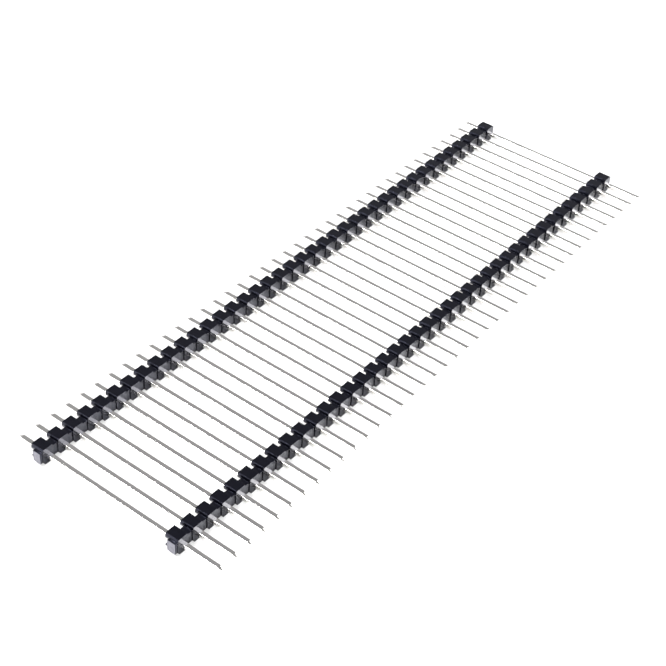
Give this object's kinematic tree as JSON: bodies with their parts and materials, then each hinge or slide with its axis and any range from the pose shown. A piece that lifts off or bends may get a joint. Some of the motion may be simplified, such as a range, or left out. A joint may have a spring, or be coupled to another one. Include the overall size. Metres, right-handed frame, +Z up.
{
  "type": "pin header strip",
  "caption": "Long single-row pin header with two snap-apart insulator bars on long square pins, lying flat.",
  "frame": {"origin": "under the middle of the strip, on the plane that the undersides of both insulator bars rest on", "axes": "+X along the pins from the short solder tails to the mating ends, +Y along the strip, +Z up from the resting plane"},
  "size_m": [0.0334, 0.1016, 0.0025],
  "materials": {
    "insulator": "injection-moulded glass-filled polyester, satin black",
    "pin": "bright tin plating on drawn square brass wire"
  },
  "bodies": {
    "root": {"solder_insulator": "insulator", "mating_insulator": "insulator", "pin_01": "pin", "pin_02": "pin", "pin_03": "pin", "pin_04": "pin", "pin_05": "pin", "pin_06": "pin", "pin_07": "pin", "pin_08": "pin", "pin_09": "pin", "pin_10": "pin", "pin_11": "pin", "pin_12": "pin", "pin_13": "pin", "pin_14": "pin", "pin_15": "pin", "pin_16": "pin", "pin_17": "pin", "pin_18": "pin", "pin_19": "pin", "pin_20": "pin", "pin_21": "pin", "pin_22": "pin", "pin_23": "pin", "pin_24": "pin", "pin_25": "pin", "pin_26": "pin", "pin_27": "pin", "pin_28": "pin", "pin_29": "pin", "pin_30": "pin", "pin_31": "pin", "pin_32": "pin", "pin_33": "pin", "pin_34": "pin", "pin_35": "pin", "pin_36": "pin", "pin_37": "pin", "pin_38": "pin", "pin_39": "pin", "pin_40": "pin"}
  },
  "joints": []
}
